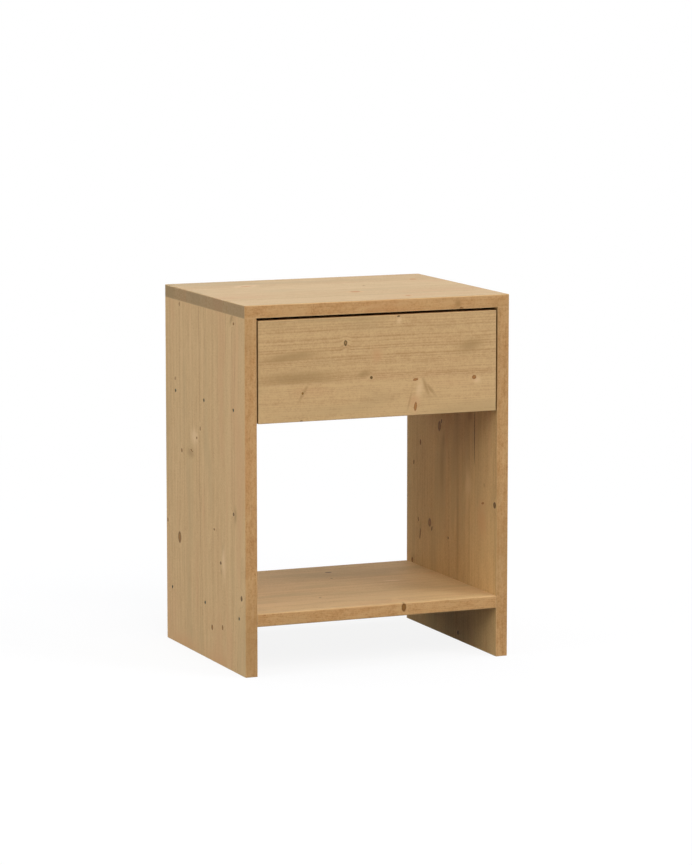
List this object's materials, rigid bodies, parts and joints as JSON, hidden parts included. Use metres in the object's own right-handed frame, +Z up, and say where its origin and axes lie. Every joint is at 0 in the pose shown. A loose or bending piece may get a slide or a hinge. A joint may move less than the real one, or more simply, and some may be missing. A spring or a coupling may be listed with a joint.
{
  "type": "nightstand with drawer",
  "caption": "Nightstand of glued pine boards: flat top on side panels, a drawer with a flush front on ball-bearing runners, and an open shelf below it.",
  "frame": {"origin": "on the floor, under the middle of the carcass", "axes": "+Z up, -Y towards the front with the drawer, +X to the right of someone facing the front"},
  "size_m": [0.4, 0.315, 0.518],
  "materials": {
    "oiled_pine": "matt oiled softwood with small knots",
    "plain_pine": "planed softwood, sealed",
    "birch_plywood": "sanded plywood",
    "beech": "fluted dowel wood, unfinished",
    "dark_screw_steel": "dark passivated steel",
    "zinc_screw_steel": "bright zinc plate",
    "runner_steel": "zinc-plated sheet steel",
    "cage_steel": "thin plated sheet steel",
    "ball_steel": "polished bearing steel",
    "buffer_rubber": "matt black rubber"
  },
  "bodies": {
    "carcass": {"top_panel": "oiled_pine", "left_side_panel": "oiled_pine", "right_side_panel": "oiled_pine", "bottom_shelf": "oiled_pine", "drawer_deck": "oiled_pine", "back_panel": "oiled_pine", "top_dowels": "beech", "back_dowels": "beech", "shelf_screws": "dark_screw_steel", "deck_screws": "dark_screw_steel", "left_cabinet_member": "runner_steel", "right_cabinet_member": "runner_steel", "cabinet_member_screws": "zinc_screw_steel", "left_rear_buffer": "buffer_rubber", "right_rear_buffer": "buffer_rubber"},
    "drawer": {"drawer_front": "oiled_pine", "drawer_inner_front": "plain_pine", "drawer_left_side": "plain_pine", "drawer_right_side": "plain_pine", "drawer_back": "plain_pine", "drawer_bottom": "birch_plywood", "drawer_corner_dowels": "beech", "drawer_front_screws": "zinc_screw_steel", "drawer_bottom_screws": "zinc_screw_steel", "left_drawer_member": "runner_steel", "right_drawer_member": "runner_steel", "drawer_member_screws": "zinc_screw_steel"},
    "left_middle": {"left_middle_member": "runner_steel"},
    "left_outer_ball_cage": {"left_outer_cage": "cage_steel", "left_outer_balls": "ball_steel"},
    "left_inner_ball_cage": {"left_inner_cage": "cage_steel", "left_inner_balls": "ball_steel"},
    "right_middle": {"right_middle_member": "runner_steel"},
    "right_outer_ball_cage": {"right_outer_cage": "cage_steel", "right_outer_balls": "ball_steel"},
    "right_inner_ball_cage": {"right_inner_cage": "cage_steel", "right_inner_balls": "ball_steel"}
  },
  "joints": [
    {"name": "drawer_slide", "type": "slide", "parent": "carcass", "child": "drawer", "axis": [0, -1, 0], "range_m": [0, 0.24]},
    {"name": "left_middle_slide", "type": "slide", "parent": "carcass", "child": "left_middle", "axis": [0, -1, 0], "range_m": [0, 0.12]},
    {"name": "left_outer_ball_cage_slide", "type": "slide", "parent": "carcass", "child": "left_outer_ball_cage", "axis": [0, -1, 0], "range_m": [0, 0.06]},
    {"name": "left_inner_ball_cage_slide", "type": "slide", "parent": "carcass", "child": "left_inner_ball_cage", "axis": [0, -1, 0], "range_m": [0, 0.18]},
    {"name": "right_middle_slide", "type": "slide", "parent": "carcass", "child": "right_middle", "axis": [0, -1, 0], "range_m": [0, 0.12]},
    {"name": "right_outer_ball_cage_slide", "type": "slide", "parent": "carcass", "child": "right_outer_ball_cage", "axis": [0, -1, 0], "range_m": [0, 0.06]},
    {"name": "right_inner_ball_cage_slide", "type": "slide", "parent": "carcass", "child": "right_inner_ball_cage", "axis": [0, -1, 0], "range_m": [0, 0.18]}
  ],
  "couplings": [
    {"joint": "left_middle_slide", "follows": "drawer_slide", "ratio": 0.5},
    {"joint": "left_outer_ball_cage_slide", "follows": "drawer_slide", "ratio": 0.25},
    {"joint": "left_inner_ball_cage_slide", "follows": "drawer_slide", "ratio": 0.75},
    {"joint": "right_middle_slide", "follows": "drawer_slide", "ratio": 0.5},
    {"joint": "right_outer_ball_cage_slide", "follows": "drawer_slide", "ratio": 0.25},
    {"joint": "right_inner_ball_cage_slide", "follows": "drawer_slide", "ratio": 0.75}
  ]
}
